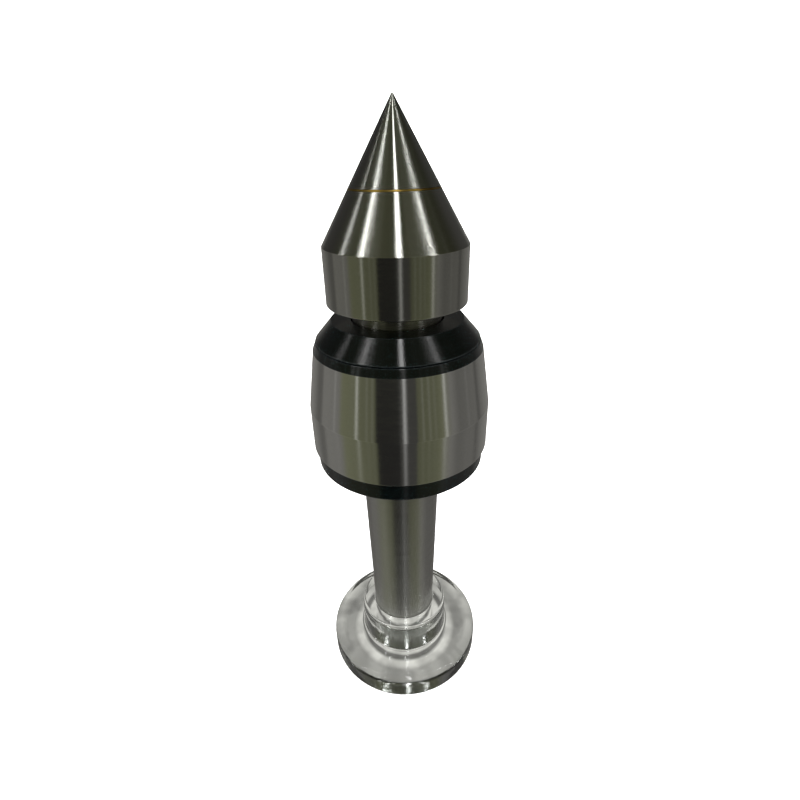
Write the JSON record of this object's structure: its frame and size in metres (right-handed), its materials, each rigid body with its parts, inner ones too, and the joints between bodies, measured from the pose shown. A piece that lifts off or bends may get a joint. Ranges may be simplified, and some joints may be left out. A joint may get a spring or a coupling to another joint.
{
  "type": "live center",
  "caption": "Lathe live center: 60 degree carbide-tipped point spinning on ball, thrust and needle bearings in a Morse taper housing, on a clear foot.",
  "frame": {"origin": "centre of the clear foot's underside, on the spindle axis", "axes": "+Z along the spindle axis from the shank's small end to the point; X and Y are free because the part is round"},
  "size_m": [0.0686, 0.0686, 0.231],
  "materials": {
    "ground_steel": "cylindrically ground tool steel",
    "carbide": "ground cemented carbide",
    "braze": "brass braze, ground flush",
    "black_oxide": "turned steel, black oxide, oiled",
    "bearing_steel": "lapped bearing steel",
    "cage_brass": "machined brass",
    "seal_rubber": "moulded nitrile rubber",
    "clear_acrylic": "clear cast acrylic, polished"
  },
  "bodies": {
    "foot": {"clear_foot": "clear_acrylic"},
    "housing": {"housing": "ground_steel", "front_cap": "black_oxide", "wiper_seal": "seal_rubber", "cap_o_ring": "seal_rubber", "front_bearing_outer_ring": "bearing_steel", "preload_shim": "bearing_steel", "thrust_housing_washer": "bearing_steel", "needle_cup": "bearing_steel"},
    "spindle": {"spindle": "ground_steel", "carbide_tip": "carbide", "braze_joint": "braze", "lock_nut": "black_oxide", "tab_washer": "bearing_steel", "front_bearing_inner_ring": "bearing_steel", "thrust_shaft_washer": "bearing_steel"},
    "front_cage": {"front_bearing_cage": "cage_brass", "front_ball_01": "bearing_steel", "front_ball_02": "bearing_steel", "front_ball_03": "bearing_steel", "front_ball_04": "bearing_steel", "front_ball_05": "bearing_steel", "front_ball_06": "bearing_steel", "front_ball_07": "bearing_steel", "front_ball_08": "bearing_steel", "front_ball_09": "bearing_steel"},
    "thrust_cage": {"thrust_cage": "cage_brass", "thrust_ball_01": "bearing_steel", "thrust_ball_02": "bearing_steel", "thrust_ball_03": "bearing_steel", "thrust_ball_04": "bearing_steel", "thrust_ball_05": "bearing_steel", "thrust_ball_06": "bearing_steel", "thrust_ball_07": "bearing_steel", "thrust_ball_08": "bearing_steel", "thrust_ball_09": "bearing_steel", "thrust_ball_10": "bearing_steel", "thrust_ball_11": "bearing_steel", "thrust_ball_12": "bearing_steel"},
    "needle_cage": {"needle_cage": "bearing_steel", "needle_01": "bearing_steel", "needle_02": "bearing_steel", "needle_03": "bearing_steel", "needle_04": "bearing_steel", "needle_05": "bearing_steel", "needle_06": "bearing_steel", "needle_07": "bearing_steel", "needle_08": "bearing_steel", "needle_09": "bearing_steel", "needle_10": "bearing_steel", "needle_11": "bearing_steel", "needle_12": "bearing_steel"}
  },
  "joints": [
    {"name": "lift_out", "type": "slide", "parent": "foot", "child": "housing", "axis": [0, 0, 1], "range_m": [0, 0.04]},
    {"name": "spindle_spin", "type": "hinge", "parent": "housing", "child": "spindle", "pos_m": [0, 0, 0.143], "axis": [0, 0, 1], "continuous": true},
    {"name": "front_cage_spin", "type": "hinge", "parent": "housing", "child": "front_cage", "pos_m": [0, 0, 0.143], "axis": [0, 0, 1], "continuous": true},
    {"name": "thrust_cage_spin", "type": "hinge", "parent": "housing", "child": "thrust_cage", "pos_m": [0, 0, 0.1219], "axis": [0, 0, 1], "continuous": true},
    {"name": "needle_cage_spin", "type": "hinge", "parent": "housing", "child": "needle_cage", "pos_m": [0, 0, 0.088], "axis": [0, 0, 1], "continuous": true}
  ],
  "couplings": [
    {"joint": "front_cage_spin", "follows": "spindle_spin", "ratio": 0.39688},
    {"joint": "thrust_cage_spin", "follows": "spindle_spin", "ratio": 0.5},
    {"joint": "needle_cage_spin", "follows": "spindle_spin", "ratio": 0.43151}
  ]
}
